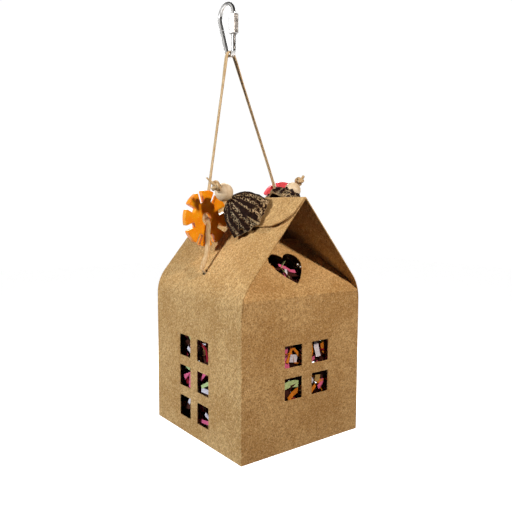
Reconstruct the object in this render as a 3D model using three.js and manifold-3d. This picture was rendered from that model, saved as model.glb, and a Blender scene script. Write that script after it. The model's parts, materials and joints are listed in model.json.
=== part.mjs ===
// A hanging foraging house for a cage bird: a folded kraft-card house with die-cut windows, filled with
// crinkle-cut paper, closed by one leather lace that carries beads, slotted discs and bell cup pods,
// and hung from a small pear-shaped quick link.
//
// Every piece is laid out in the house's own coordinates, in millimetres: the origin is the middle of
// the box's underside, +X runs across the gable, the ridge runs along Y with the front gable at -Y, and
// +Z is up. The exported group then moves that origin so that the hang point inside the link is zero.
import * as THREE from "three";
import { mergeVertices } from "three/addons/utils/BufferGeometryUtils.js";
import Module from "manifold-3d";

const wasm = await Module();
wasm.setup();

// ---- driving dimensions ----
const WIDTH = 102.5; // across the gable
const DEPTH = 108.5; // along the ridge
const WALL_HEIGHT = 102; // underside to the gable crease
const RIDGE_HEIGHT = 166.3;
const CARD = 0.7; // thickness of the kraft card
const GAP = 0.3; // clearance between touching pieces
const ROOF_PITCH = THREE.MathUtils.degToRad(50);
const EAVE_RADIUS = 27; // the wall bends into the roof without a crease
const GUSSET_PITCH = THREE.MathUtils.degToRad(44.5);
const GUSSET_LENGTH = 50;
const FLAP_LENGTH = 27;
const FLAP_CORNER = 15;

const PANE_GAP_X = 9;
const GABLE_PANE = [14.7, 14.6];
const GABLE_WINDOW = { x: 2.5, z: 52, rows: 2, rowGap: 6.9 };
const SIDE_PANE = [14.2, 15];
const SIDE_WINDOW = { y: 2, z: 40.5, rows: 3, rowGap: 7 };

const HEART_TIP = 10; // along the gusset from its crease
const HEART_LOBE = 7.1;
const HEART_LOBE_AT = 29.5;
const HEART_LOBE_OFFSET = 6.4;

const LACE_RADIUS = 1.1;
const LACE_HOLE = 2.2;
// The holes that the lace comes up through, with s measured down the slope from the ridge.
const NEAR_UPPER_HOLE = { s: 20.5, y: -14 };
const FAR_UPPER_HOLE = { s: 18.5, y: -11 };
const LOWER_HOLE = { s: 67, y: 0 };

const DISC_RADIUS = 19.3;
const DISC_THICKNESS = 3.2;
const DISC_HOLE = 4.2;
const DISC_SLOTS = 8;
const DISC_TURN = THREE.MathUtils.degToRad(20); // the first slot, up from +X
const SLOT_WIDTH = 3.6;
const SLOT_DEPTH = 7.6;
const NEAR_DISC = { at: [-38.5, 6.5, 151.7], yaw: THREE.MathUtils.degToRad(10) };
const FAR_DISC = { at: [34.5, 12.4, 160], yaw: 0 };

const BEAD_RADIUS = 6.2;
const BEAD_BORE = 2.4;
const KNOT_SIZE = [3.8, 3, 3.2]; // half its extents
const KNOT_REACH = 10.1; // from the bead's middle
const CUP_RADIUS = 16.3;
const CUP_LENGTH = 20.4;
const CUP_WALL = 1.6;

const WIRE = 1.6; // half the link's wire thickness
const LINK_X = -14.5;
const LINK_SMALL = { y: 11.1, z: 270.2, r: 4.2 };
const LINK_LARGE = { y: 15.5, z: 294.4, r: 8.6 };
const GATE_OPENING = [286, 292];
const NUT_SPAN = [280.6, 294];

const HANG_POINT = [LINK_X, LINK_LARGE.y, LINK_LARGE.z + LINK_LARGE.r - WIRE];

// ---- materials ----
const finish = (color, roughness, metalness = 0) =>
  new THREE.MeshStandardMaterial({ color, roughness, metalness });
const kraft = finish(0xc39f6c, 0.9);
const leather = finish(0xd2b284, 0.7);
const palewood = finish(0xe6d2ac, 0.55);
const pod = finish(0x3a261c, 0.85);
const orange = finish(0xf28a14, 0.35);
const pink = finish(0xe8505f, 0.35);
const nickel = finish(0xc4c4c8, 0.2, 1);
const shredColour = finish(0xb04a5a, 0.9);

// ---- solids ----
function solidOf(geometry) {
  const bare = geometry.clone();
  bare.deleteAttribute("normal");
  bare.deleteAttribute("uv");
  const merged = mergeVertices(bare, 1e-4);
  return new wasm.Manifold(
    new wasm.Mesh({
      numProp: 3,
      vertProperties: new Float32Array(merged.attributes.position.array),
      triVerts: new Uint32Array(merged.index.array),
    }),
  );
}

function geometryOf(solid) {
  const mesh = solid.getMesh();
  const geometry = new THREE.BufferGeometry();
  geometry.setAttribute("position", new THREE.BufferAttribute(mesh.vertProperties, 3));
  geometry.setIndex(new THREE.BufferAttribute(mesh.triVerts, 1));
  return geometry;
}

// A block between two corners.
function block(low, high) {
  const size = high.map((value, axis) => value - low[axis]);
  const middle = high.map((value, axis) => (value + low[axis]) / 2);
  return new THREE.BoxGeometry(...size).translate(...middle);
}

// A flat outline made `thick` along its own normal, then placed by a matrix.
function plate(shape, thick, matrix, curveSegments = 8) {
  const geometry = new THREE.ExtrudeGeometry(shape, { depth: thick, bevelEnabled: false, curveSegments });
  return geometry.applyMatrix4(matrix);
}

// The matrix that puts an outline's x, y and thickness along three given directions from an origin.
function placing(x, y, z, origin) {
  return new THREE.Matrix4()
    .makeBasis(new THREE.Vector3(...x), new THREE.Vector3(...y), new THREE.Vector3(...z))
    .setPosition(new THREE.Vector3(...origin));
}

// A round cord or wire along points, with its steps spaced as the points are.
function tube(points, radius, sides, stepsPerSpan) {
  const route = new THREE.CatmullRomCurve3(points, false, "centripetal");
  route.getSpacedPoints = route.getPoints;
  route.getTangentAt = route.getTangent;
  const section = new THREE.Shape(
    Array.from({ length: sides }, (_, k) => {
      const turn = (2 * Math.PI * k) / sides;
      return new THREE.Vector2(radius * Math.cos(turn), radius * Math.sin(turn));
    }),
  );
  const steps = (points.length - 1) * stepsPerSpan;
  return new THREE.ExtrudeGeometry(section, { steps, extrudePath: route, bevelEnabled: false });
}

function lathe(profile, segments) {
  const points = profile.map(([r, z]) => new THREE.Vector2(r, z));
  return new THREE.LatheGeometry(points, segments).rotateX(Math.PI / 2);
}

const feeder = new THREE.Group();
feeder.position.set(...HANG_POINT.map((value) => -value));

function add(name, geometry, material, parent = feeder) {
  const mesh = new THREE.Mesh(geometry, material);
  mesh.name = name;
  parent.add(mesh);
  return mesh;
}

// ---- the side sheets: wall and roof panel in one smooth bend ----
// The sheet's surface at a depth under its outside, from the foot to the ridge, for the +X side.
function sheetLine(depth) {
  const half = WIDTH / 2;
  const turn = Math.PI / 2 - ROOF_PITCH;
  const cornerZ = RIDGE_HEIGHT - half * Math.tan(ROOF_PITCH);
  const centreZ = cornerZ - EAVE_RADIUS * Math.tan(turn / 2);
  const centreX = half - EAVE_RADIUS;
  const radius = EAVE_RADIUS - depth;
  const points = [new THREE.Vector2(half - depth, 0)];
  const steps = 10;
  for (let k = 0; k <= steps; k++) {
    const angle = (turn * k) / steps;
    points.push(new THREE.Vector2(centreX + radius * Math.cos(angle), centreZ + radius * Math.sin(angle)));
  }
  const ridgeX = GAP / 2;
  const ridgeZ = RIDGE_HEIGHT - depth / Math.cos(ROOF_PITCH) - ridgeX * Math.tan(ROOF_PITCH);
  points.push(new THREE.Vector2(ridgeX, ridgeZ));
  return points;
}

// The edge of the clear space between the sheets from one height to another, as points of half width
// and height.
function clearEdge(low, high, clearance) {
  const line = sheetLine(CARD + clearance);
  const at = (z) => {
    const above = line.findIndex((corner) => corner.y >= z);
    const a = line[above - 1];
    const b = line[above];
    return new THREE.Vector2(a.x + ((b.x - a.x) * (z - a.y)) / (b.y - a.y), z);
  };
  const nearby = 0.4;
  const between = line.filter((corner) => corner.y > low + nearby && corner.y < high - nearby);
  return [at(low), ...between, at(high)];
}

// A closed outline from its right-hand edge and that edge's mirror image.
function mirroredShape(edge) {
  const left = edge.map((corner) => new THREE.Vector2(-corner.x, corner.y)).reverse();
  return new THREE.Shape([...edge, ...left]);
}

// A point on a roof panel: side is -1 near or +1 far, s down the slope, h out from the card.
function roofPoint(side, s, y, h) {
  const x = s * Math.cos(ROOF_PITCH) + h * Math.sin(ROOF_PITCH);
  const z = RIDGE_HEIGHT - s * Math.sin(ROOF_PITCH) + h * Math.cos(ROOF_PITCH);
  return new THREE.Vector3(side * x, y, z);
}

const roofNormal = (side) => new THREE.Vector3(side * Math.sin(ROOF_PITCH), 0, Math.cos(ROOF_PITCH));

// Lowest corners of a window's panes: two columns about `middle`, and rows about `level`.
function paneCorners(middle, level, [paneWidth, paneHeight], rows, rowGap) {
  const corners = [];
  const windowHeight = rows * paneHeight + (rows - 1) * rowGap;
  for (const left of [middle - PANE_GAP_X / 2 - paneWidth, middle + PANE_GAP_X / 2]) {
    for (let row = 0; row < rows; row++) {
      corners.push([left, level - windowHeight / 2 + row * (paneHeight + rowGap)]);
    }
  }
  return corners;
}

function laceHole(side, { s, y }) {
  const turn = new THREE.Quaternion().setFromUnitVectors(new THREE.Vector3(0, 1, 0), roofNormal(side));
  const at = roofPoint(side, s, y, 0);
  return new THREE.CylinderGeometry(LACE_HOLE, LACE_HOLE, 6, 12)
    .applyQuaternion(turn)
    .translate(at.x, at.y, at.z);
}

function sideSheet(side) {
  const outline = new THREE.Shape([...sheetLine(0), ...sheetLine(CARD).reverse()]);
  // the outline's x and y become X and Z, and its thickness runs along -Y for +X and back for -X
  const matrix = placing([side, 0, 0], [0, 0, 1], [0, -side, 0], [0, (side * DEPTH) / 2, 0]);
  let solid = solidOf(plate(outline, DEPTH, matrix));
  const wallX = (side * WIDTH) / 2;
  const { y, z, rows, rowGap } = SIDE_WINDOW;
  const [paneWidth, paneHeight] = SIDE_PANE;
  for (const [left, low] of paneCorners(y, z, SIDE_PANE, rows, rowGap)) {
    const cut = block([wallX - 5, left, low], [wallX + 5, left + paneWidth, low + paneHeight]);
    solid = solid.subtract(solidOf(cut));
  }
  for (const hole of [side < 0 ? NEAR_UPPER_HOLE : FAR_UPPER_HOLE, LOWER_HOLE]) {
    solid = solid.subtract(solidOf(laceHole(side, hole)));
  }
  return geometryOf(solid);
}

// ---- the gable ends ----
// end is -1 for the front and +1 for the rear.
function gableWall(end) {
  const shape = mirroredShape(clearEdge(GAP, WALL_HEIGHT - GAP, GAP));
  const inside = end * (DEPTH / 2 - CARD);
  let solid = solidOf(plate(shape, CARD, placing([-end, 0, 0], [0, 0, 1], [0, end, 0], [0, inside, 0])));
  const { x, z, rows, rowGap } = GABLE_WINDOW;
  const [paneWidth, paneHeight] = GABLE_PANE;
  for (const [left, low] of paneCorners(x, z, GABLE_PANE, rows, rowGap)) {
    const cut = block([left, inside - 5, low], [left + paneWidth, inside + 5, low + paneHeight]);
    solid = solid.subtract(solidOf(cut));
  }
  return geometryOf(solid);
}

// A heart with two round lobes and bowed sides that meet at its tip, tip towards -Y of the outline.
function heartPath() {
  const path = new THREE.Path();
  const cosine = HEART_LOBE_OFFSET / HEART_LOBE;
  const meet = Math.acos(cosine);
  const low = -0.35;
  const sideX = HEART_LOBE_OFFSET + HEART_LOBE * Math.cos(low);
  const sideY = HEART_LOBE_AT + HEART_LOBE * Math.sin(low);
  path.moveTo(0, HEART_TIP);
  path.quadraticCurveTo(sideX - 2.6, HEART_TIP + 8.6, sideX, sideY);
  path.absarc(HEART_LOBE_OFFSET, HEART_LOBE_AT, HEART_LOBE, low, Math.PI - meet, false);
  path.absarc(-HEART_LOBE_OFFSET, HEART_LOBE_AT, HEART_LOBE, meet, Math.PI - low, false);
  path.quadraticCurveTo(-sideX + 2.6, HEART_TIP + 8.6, 0, HEART_TIP);
  return path;
}

// The flap that folds in from the gable's crease to close the opening under the roof.
function gusset(end) {
  const rise = Math.sin(GUSSET_PITCH);
  const edge = clearEdge(WALL_HEIGHT + GAP, WALL_HEIGHT + GUSSET_LENGTH * rise, 3 * GAP);
  const shape = mirroredShape(edge.map(({ x, y }) => new THREE.Vector2(x, (y - WALL_HEIGHT) / rise)));
  shape.holes.push(heartPath());
  const up = [0, -end * Math.cos(GUSSET_PITCH), Math.sin(GUSSET_PITCH)];
  const out = [0, end * Math.sin(GUSSET_PITCH), Math.cos(GUSSET_PITCH)];
  const across = [-end, 0, 0];
  const foot = [0, end * (DEPTH / 2) - out[1] * CARD, WALL_HEIGHT - out[2] * CARD + CARD];
  return plate(shape, CARD, placing(across, up, out, foot), 5);
}

// ---- the flap over the ridge ----
function ridgeFlap() {
  const half = DEPTH / 2;
  const start = -0.6;
  const shape = new THREE.Shape();
  shape.moveTo(-half, start);
  shape.lineTo(half, start);
  shape.lineTo(half, FLAP_LENGTH - FLAP_CORNER);
  shape.absarc(half - FLAP_CORNER, FLAP_LENGTH - FLAP_CORNER, FLAP_CORNER, 0, Math.PI / 2, false);
  shape.absarc(-half + FLAP_CORNER, FLAP_LENGTH - FLAP_CORNER, FLAP_CORNER, Math.PI / 2, Math.PI, false);
  const hole = new THREE.Path();
  hole.absarc(NEAR_UPPER_HOLE.y, NEAR_UPPER_HOLE.s, LACE_HOLE, 0, 2 * Math.PI, true);
  shape.holes.push(hole);
  const down = roofPoint(-1, 1, 0, 0).sub(roofPoint(-1, 0, 0, 0));
  const foot = roofPoint(-1, 0, 0, GAP);
  return plate(shape, CARD, placing([0, 1, 0], down.toArray(), roofNormal(-1).toArray(), foot.toArray()), 8);
}

// ---- the bottom closure ----
function bottomPieces() {
  const halfX = WIDTH / 2 - CARD - GAP;
  const halfY = DEPTH / 2 - CARD - GAP;
  const tuckY = halfY - CARD - GAP;
  add("bottom_panel", block([-halfX, -halfY, 0], [halfX, halfY, CARD]), kraft);
  const tongueFoot = CARD + GAP;
  add("tuck_tongue", block([-halfX + 4, tuckY, tongueFoot], [halfX - 14, tuckY + CARD, tongueFoot + 18]), kraft);
  for (const [name, side] of [["near_dust_flap", -1], ["far_dust_flap", 1]]) {
    const inner = side * 8;
    const outer = side * halfX;
    const low = [Math.min(inner, outer), -halfY + 8, tongueFoot];
    const high = [Math.max(inner, outer), tuckY - 6, tongueFoot + CARD];
    add(name, block(low, high), kraft);
  }
}

function glueTab() {
  const x = WIDTH / 2 - CARD - GAP;
  const y = DEPTH / 2 - 2 * (CARD + GAP);
  return block([x - CARD, y - 12, 24], [x, y, 92]);
}

// ---- beads, discs and bell cups ----
// A frame whose z runs along an axis from a point.
function along(origin, axis) {
  const frame = new THREE.Group();
  frame.position.copy(origin);
  frame.quaternion.setFromUnitVectors(new THREE.Vector3(0, 0, 1), axis.clone().normalize());
  feeder.add(frame);
  return frame;
}

function beadGeometry() {
  const profile = [];
  const steps = 8;
  const reach = Math.asin(BEAD_BORE / BEAD_RADIUS);
  for (let k = 0; k <= steps; k++) {
    const angle = reach + ((Math.PI - 2 * reach) * k) / steps;
    profile.push([BEAD_RADIUS * Math.sin(angle), -BEAD_RADIUS * Math.cos(angle)]);
  }
  return lathe([...profile, profile[0]], 16);
}

// The bell cup's outside, as shares of its radius and length, from the rim to the top.
const CUP_SHAPE = [[1, 0], [0.96, 0.2], [0.87, 0.45], [0.74, 0.65], [0.56, 0.83], [0.36, 0.95], [0.2, 1]];

function cupGeometry() {
  const outer = CUP_SHAPE.map(([r, z]) => [r * CUP_RADIUS, z * CUP_LENGTH]);
  const bore = LACE_RADIUS + 1.1;
  const inner = outer
    .slice(0, -1)
    .map(([r, z]) => [Math.max(r - CUP_WALL, bore), Math.min(z, CUP_LENGTH - CUP_WALL - 0.6)])
    .reverse();
  return lathe([...outer, [bore, CUP_LENGTH], ...inner, outer[0]], 20);
}

function discGeometry() {
  const shape = new THREE.Shape();
  const half = Math.asin(SLOT_WIDTH / 2 / DISC_RADIUS);
  const pitch = (2 * Math.PI) / DISC_SLOTS;
  const floor = DISC_RADIUS - SLOT_DEPTH;
  for (let k = 0; k < DISC_SLOTS; k++) {
    const middle = k * pitch;
    const ray = new THREE.Vector2(Math.cos(middle), Math.sin(middle));
    const side = new THREE.Vector2(-ray.y, ray.x).multiplyScalar(SLOT_WIDTH / 2);
    const inner = ray.clone().multiplyScalar(floor);
    const first = inner.clone().sub(side);
    const last = inner.clone().add(side);
    if (k) shape.lineTo(first.x, first.y);
    else shape.moveTo(first.x, first.y);
    shape.lineTo(last.x, last.y);
    shape.absarc(0, 0, DISC_RADIUS, middle + half, middle + pitch - half, false);
  }
  const hole = new THREE.Path();
  hole.absarc(0, 0, DISC_HOLE, 0, 2 * Math.PI, true);
  shape.holes.push(hole);
  const geometry = new THREE.ExtrudeGeometry(shape, { depth: DISC_THICKNESS, bevelEnabled: false, curveSegments: 6 });
  return geometry.translate(0, 0, -DISC_THICKNESS / 2).rotateZ(DISC_TURN).rotateX(Math.PI / 2);
}

// The knot that ends the lace: a tight lump with the cut tail standing out of it.
function knotGeometry(tail) {
  const lump = new THREE.SphereGeometry(1, 12, 8).scale(...KNOT_SIZE);
  const end = new THREE.Vector3(...tail);
  const route = [new THREE.Vector3(), end.clone().multiplyScalar(0.5), end];
  return geometryOf(solidOf(lump).add(solidOf(tube(route, LACE_RADIUS, 8, 2))));
}

// The pod, bead and knot on one roof panel, and the stretch of lace that runs through them. The
// bead sits on the pod's narrow end, turned half way towards the knot.
function threadedStack(prefix, side, hole, lean, knotAway, tail) {
  const tilt = Math.atan(lean);
  const lift = CARD + 2 * GAP + CUP_RADIUS * Math.sin(tilt) + 0.2;
  const axis = roofNormal(side).add(new THREE.Vector3(0, lean, 0)).normalize();
  const base = roofPoint(side, hole.s, hole.y, 0).addScaledVector(axis, lift);
  const beadAt = base.clone().addScaledVector(axis, CUP_LENGTH + BEAD_RADIUS + GAP);
  const away = new THREE.Vector3(...knotAway).normalize();
  const beadAxis = axis.clone().add(away).normalize();
  const knotAt = beadAt.clone().addScaledVector(away, KNOT_REACH);
  add(`${prefix}_bell_cup`, cupGeometry(), pod, along(base, axis));
  add(`${prefix}_bead`, beadGeometry(), palewood, along(beadAt, beadAxis));
  const knot = add(`${prefix}_knot`, knotGeometry(tail), leather);
  knot.position.copy(knotAt);
  return [
    knotAt.clone().lerp(beadAt, 0.43),
    beadAt.clone().addScaledVector(beadAxis, 4.7),
    beadAt,
    beadAt.clone().addScaledVector(axis.clone().lerp(beadAxis, 0.5), -5.4),
    base.clone().addScaledVector(axis, CUP_LENGTH * 0.6),
    base.clone().addScaledVector(axis, 2),
  ];
}

// From the upper hole, inside the roof, to just above the lower hole outside.
function threadUnderRoof(side, upper) {
  const stops = [
    [upper.s, upper.y, -0.3],
    [upper.s + 1.7, upper.y + 0.4, -3.6],
    [28, 0.82 * upper.y, -5.4],
    [40, 0.55 * upper.y, -5.8],
    [54, 0.22 * upper.y, -5.6],
    [LOWER_HOLE.s - 3, LOWER_HOLE.y - 0.4, -4.4],
    [LOWER_HOLE.s - 0.4, LOWER_HOLE.y, -2],
    [LOWER_HOLE.s, LOWER_HOLE.y, 0.6],
    [LOWER_HOLE.s - 1, LOWER_HOLE.y, 3.4],
  ];
  return stops.map(([s, y, h]) => roofPoint(side, s, y, h));
}

// ---- the leather lace, one piece from knot to knot ----
const point = (x, y, z) => new THREE.Vector3(x, y, z);

// Evenly spaced points between two others.
function between(from, to, count) {
  return Array.from({ length: count }, (_, k) => from.clone().lerp(to, (k + 1) / (count + 1)));
}

// The lace's round turn over the bottom of the link, entered and left in line with its two strands.
function overLink(nearLean, farLean) {
  const bend = LACE_RADIUS + WIRE + GAP;
  const turns = 6;
  return Array.from({ length: turns + 1 }, (_, k) => {
    const angle = Math.PI - nearLean - ((Math.PI - nearLean - farLean) * k) / turns;
    const x = LINK_X + bend * Math.cos(angle);
    const z = LINK_SMALL.z - LINK_SMALL.r + bend * Math.sin(angle);
    return point(x, LINK_SMALL.y, z);
  });
}

function laceRoute(nearStack, farStack) {
  const nearRise = [
    point(-41, 1, 128),
    point(-39.4, 2, 141),
    point(-38.3, 3.2, 148),
    point(-37.4, 7.2, 151.6),
    point(-36.4, 10.9, 155.2),
    point(-34, 11, 165),
  ];
  const farFall = [
    point(26.2, 8.6, 172),
    point(32.4, 8.9, 163.4),
    point(34.1, 12.2, 160.3),
    point(35.6, 15.7, 156.6),
    point(38.9, 15.9, 147),
    point(40.6, 15.3, 138.5),
    point(44, 8.6, 127),
  ];
  const lean = (strandEnd) => Math.atan(Math.abs(strandEnd.x - LINK_X) / (LINK_SMALL.z - strandEnd.z));
  const turn = overLink(lean(nearRise.at(-1)), lean(farFall[0]));
  return [
    ...nearStack,
    ...threadUnderRoof(-1, NEAR_UPPER_HOLE),
    ...nearRise,
    ...between(nearRise.at(-1), turn[0], 4),
    ...turn,
    ...between(turn.at(-1), farFall[0], 4),
    ...farFall,
    ...threadUnderRoof(1, FAR_UPPER_HOLE).reverse(),
    ...farStack.reverse(),
  ];
}

// ---- the quick link ----
// Its centreline: two arcs joined by the straight gate leg and the slanted leg, open at the gate.
function linkRoute() {
  const dy = LINK_LARGE.y - LINK_SMALL.y;
  const dz = LINK_LARGE.z - LINK_SMALL.z;
  const spread = 2 * Math.atan2(dy, dz);
  const slant = -spread; // the slanted leg's outward direction, from +Y
  const arc = ({ y, z, r }, from, to, steps) =>
    Array.from({ length: steps + 1 }, (_, k) => {
      const angle = from + ((to - from) * k) / steps;
      return point(LINK_X, y + r * Math.cos(angle), z + r * Math.sin(angle));
    });
  const gateY = LINK_LARGE.y - LINK_LARGE.r;
  return [
    point(LINK_X, gateY, GATE_OPENING[1]),
    ...arc(LINK_LARGE, Math.PI, slant, 10),
    ...arc(LINK_SMALL, slant, -Math.PI, 7),
    point(LINK_X, gateY, (LINK_SMALL.z + GATE_OPENING[0]) / 2),
    point(LINK_X, gateY, GATE_OPENING[0]),
  ];
}

function gateNut() {
  const [low, high] = NUT_SPAN;
  const bore = 2.3;
  const wide = 3.65;
  const chamfer = 0.6;
  const profile = [
    [bore, low],
    [wide - chamfer, low],
    [wide, low + chamfer],
    [wide, high - chamfer],
    [wide - chamfer, high],
    [bore, high],
    [bore, low],
  ];
  return lathe(profile, 6).translate(LINK_X, LINK_LARGE.y - LINK_LARGE.r, 0);
}

// ---- the crinkle-cut paper ----
// A soft, square-sided heap with a domed top, clear of the walls.
function paperHeap() {
  const half = new THREE.Vector3(45, 48, 50);
  const middle = 53;
  const geometry = new THREE.SphereGeometry(1, 20, 12).rotateX(Math.PI / 2);
  const position = geometry.attributes.position;
  const square = (value, power) => Math.sign(value) * Math.abs(value) ** power;
  for (let k = 0; k < position.count; k++) {
    const x = square(position.getX(k), 0.55) * half.x;
    const y = square(position.getY(k), 0.55) * half.y;
    const z = square(position.getZ(k), 0.7) * half.z;
    position.setXYZ(k, x, y, z + middle);
  }
  return geometryOf(solidOf(geometry));
}

// ---- assembly ----
add("near_wall_and_roof", sideSheet(-1), kraft);
add("far_wall_and_roof", sideSheet(1), kraft);
add("front_gable", gableWall(-1), kraft);
add("rear_gable", gableWall(1), kraft);
add("front_gusset", gusset(-1), kraft);
add("rear_gusset", gusset(1), kraft);
add("ridge_flap", ridgeFlap(), kraft);
bottomPieces();
add("glue_tab", glueTab(), kraft);
add("paper_shred", paperHeap(), shredColour);

const DISCS = [["orange_disc", orange, NEAR_DISC], ["pink_disc", pink, FAR_DISC]];
for (const [name, material, { at, yaw }] of DISCS) {
  const disc = add(name, discGeometry(), material);
  disc.position.set(...at);
  disc.rotation.z = yaw;
}

const nearStack = threadedStack("near", -1, NEAR_UPPER_HOLE, 0.06, [-0.86, -0.37, 0.35], [-6.6, 1.4, 5.6]);
const farStack = threadedStack("far", 1, FAR_UPPER_HOLE, 0.38, [0.72, 0.05, 0.69], [3.2, -1.2, 4]);
add("leather_lace", tube(laceRoute(nearStack, farStack), LACE_RADIUS, 8, 2), leather);

add("quick_link", tube(linkRoute(), WIRE, 10, 2), nickel);
add("gate_nut", gateNut(), nickel);

export default feeder;
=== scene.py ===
import json
import math
import random

import bmesh
import bpy
from mathutils import Euler, Matrix, Vector, noise


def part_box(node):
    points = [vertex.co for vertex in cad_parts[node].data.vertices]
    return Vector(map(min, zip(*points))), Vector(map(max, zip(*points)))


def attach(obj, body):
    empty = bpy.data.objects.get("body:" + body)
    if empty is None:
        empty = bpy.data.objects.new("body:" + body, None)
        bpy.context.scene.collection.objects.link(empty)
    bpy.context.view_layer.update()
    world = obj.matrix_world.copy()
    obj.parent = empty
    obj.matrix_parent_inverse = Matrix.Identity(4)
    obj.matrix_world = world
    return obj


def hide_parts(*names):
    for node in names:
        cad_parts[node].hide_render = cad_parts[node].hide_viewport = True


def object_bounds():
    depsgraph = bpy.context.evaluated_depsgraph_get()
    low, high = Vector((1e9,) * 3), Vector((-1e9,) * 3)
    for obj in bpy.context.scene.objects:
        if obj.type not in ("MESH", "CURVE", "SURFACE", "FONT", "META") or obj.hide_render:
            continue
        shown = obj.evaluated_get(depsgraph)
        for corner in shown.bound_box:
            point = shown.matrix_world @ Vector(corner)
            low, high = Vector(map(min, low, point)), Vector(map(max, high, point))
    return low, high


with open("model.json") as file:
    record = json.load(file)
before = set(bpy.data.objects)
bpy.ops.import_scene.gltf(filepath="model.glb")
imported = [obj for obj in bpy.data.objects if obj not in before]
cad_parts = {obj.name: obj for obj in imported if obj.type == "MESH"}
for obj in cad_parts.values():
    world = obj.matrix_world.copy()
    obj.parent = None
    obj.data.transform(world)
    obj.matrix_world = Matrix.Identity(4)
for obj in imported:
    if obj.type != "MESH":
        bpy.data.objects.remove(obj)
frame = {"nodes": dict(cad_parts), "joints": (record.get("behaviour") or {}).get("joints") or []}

cad_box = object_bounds()

# ---- sizes, in millimetres, in the house's own coordinates ----
# The origin is the middle of the box's underside, +X across the gable, +Y along the ridge.
MM = 0.001
near_low, near_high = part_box("near_wall_and_roof")
far_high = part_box("far_wall_and_roof")[1]
ORIGIN = Vector(((near_low.x + far_high.x) / 2, (near_low.y + near_high.y) / 2, near_low.z))
WIDTH = (far_high.x - near_low.x) / MM
DEPTH = (near_high.y - near_low.y) / MM
WALL_HEIGHT = 102
RIDGE_HEIGHT = 166.3
CARD = 0.7
GAP = 0.3
PITCH = math.radians(50)
EAVE_RADIUS = 27
GUSSET_PITCH = math.radians(44.5)
GUSSET_LENGTH = 50
CREASE_RADIUS = 2.2
RIDGE_RADIUS = 1.3
FLAP_LENGTH = 27
FLAP_CORNER = 15
FRONT_LIFT = 2.4
REAR_LIFT = 1.1
CARD_WAVE = 0.16
CARD_WAVES_PER_MM = 0.021
CARD_GRID = 9
FLOOR_THICKNESS = 2.2

PANE_GAP = 9
GABLE_WINDOW = {"pane": (14.7, 14.6), "middle": 2.5, "level": 52, "rows": 2, "row_gap": 6.9}
SIDE_WINDOW = {"pane": (14.2, 15), "middle": 2, "level": 40.5, "rows": 3, "row_gap": 7}

HEART_TIP = 10
HEART_LOBE = 7.1
HEART_LOBE_AT = 29.5
HEART_LOBE_OFFSET = 6.4

LACE_WIDTH = 3.4
LACE_THICK = 1.5
LACE_RADIUS = 1.1
LACE_HOLE = 2.2
NEAR_UPPER_HOLE = (20.5, -14)
FAR_UPPER_HOLE = (18.5, -11)
LOWER_HOLE = (67, 0)
BEND_STEPS = 6
# The lace's way up from the near lower hole, in front of the disc, and down to the far one.
NEAR_RISE = [
    (-41, 1, 128), (-39.4, 2, 141), (-38.3, 3.2, 148),
    (-37.4, 7.2, 151.6), (-36.4, 10.9, 155.2), (-34, 11, 165),
]
FAR_FALL = [
    (26.2, 8.6, 172), (32.4, 8.9, 163.4), (34.1, 12.2, 160.3), (35.6, 15.7, 156.6),
    (38.9, 15.9, 147), (40.6, 15.3, 138.5), (44, 8.6, 127),
]

KNOT_REACH = 10.1
KNOT_AWAY = {
    "near": Vector((-0.86, -0.37, 0.35)).normalized(),
    "far": Vector((0.72, 0.05, 0.69)).normalized(),
}
KNOT_STEPS = 46
KNOT_START = 0.45
KNOT_SWEEP = 2 * math.pi - 0.75
KNOT_RISE = 1.15
KNOT_SCALE = 0.92
KNOT_WIDTH = 2.9
KNOT_THICK = 1.9

DISC_RADIUS = 19.3
DISC_THICKNESS = 3.2
DISC_HOLE = 4.2
DISC_SLOTS = 8
DISC_TURN = math.radians(20)
SLOT_WIDTH = 3.6
SLOT_DEPTH = 7.6

BEAD_RADIUS = 6.2
BEAD_BORE = 2.2
CUP_RADIUS = 16.3
CUP_LENGTH = 20.4
CUP_WALL = 1.6
CUP_SHAPE = [(1, 0), (0.96, 0.2), (0.87, 0.45), (0.74, 0.65), (0.56, 0.83), (0.36, 0.95), (0.2, 1)]
POD_CORNERS = 5
POD_RIBS = 13
RIB_HEIGHT = 2.4

WIRE = 1.6
LINK_SMALL = {"y": 11.1, "z": 270.2, "r": 4.2}
LINK_LARGE = {"y": 15.5, "z": 294.4, "r": 8.6}
LINK_X = -ORIGIN.x / MM
GATE_Y = LINK_LARGE["y"] - LINK_LARGE["r"]
GATE_OPENING = (286, 292)
WIRE_END_EASE = 0.35
THREAD_PITCH = 0.7
THREAD_DEPTH = 0.2
NUT_SPAN = (280.6, 294)
NUT_CORNER = 3.65
NUT_BORE = 1.78
KNURL_PITCH = 0.9
KNURL_DEPTH = 0.1
KNURL_REACH = 0.46

# Each light's name, what it aims at, the way it comes from, and its distance, size, power and tone.
LIGHTS = [
    ("left_softbox", (0, 0, 110), (-0.93, 0.11, 0.33), 1.1, 0.1, 10.7, (0.97, 1, 1.04)),
    ("front_softbox", (0, -30, 150), (0.05, -1, 0.66), 0.8, 0.07, 6.0, (1, 0.87, 0.76)),
    ("back_softbox", (0, 0, 90), (0.7, 1, 0.5), 1.6, 0.8, 15.0, (1, 1, 1)),
]
AMBIENT = 0.015
FLOOR_DROP = 0.3

JOINTS = {joint["name"]: joint for joint in frame["joints"]}


def row(point):
    """A point of the house's coordinates in the frame, in metres."""
    return ORIGIN + Vector(point) * MM


def house(point):
    """A point of the frame in the house's coordinates, in millimetres."""
    return (Vector(point) - ORIGIN) / MM


def smooth(value):
    value = min(1, max(0, value))
    return value * value * (3 - 2 * value)


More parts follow.
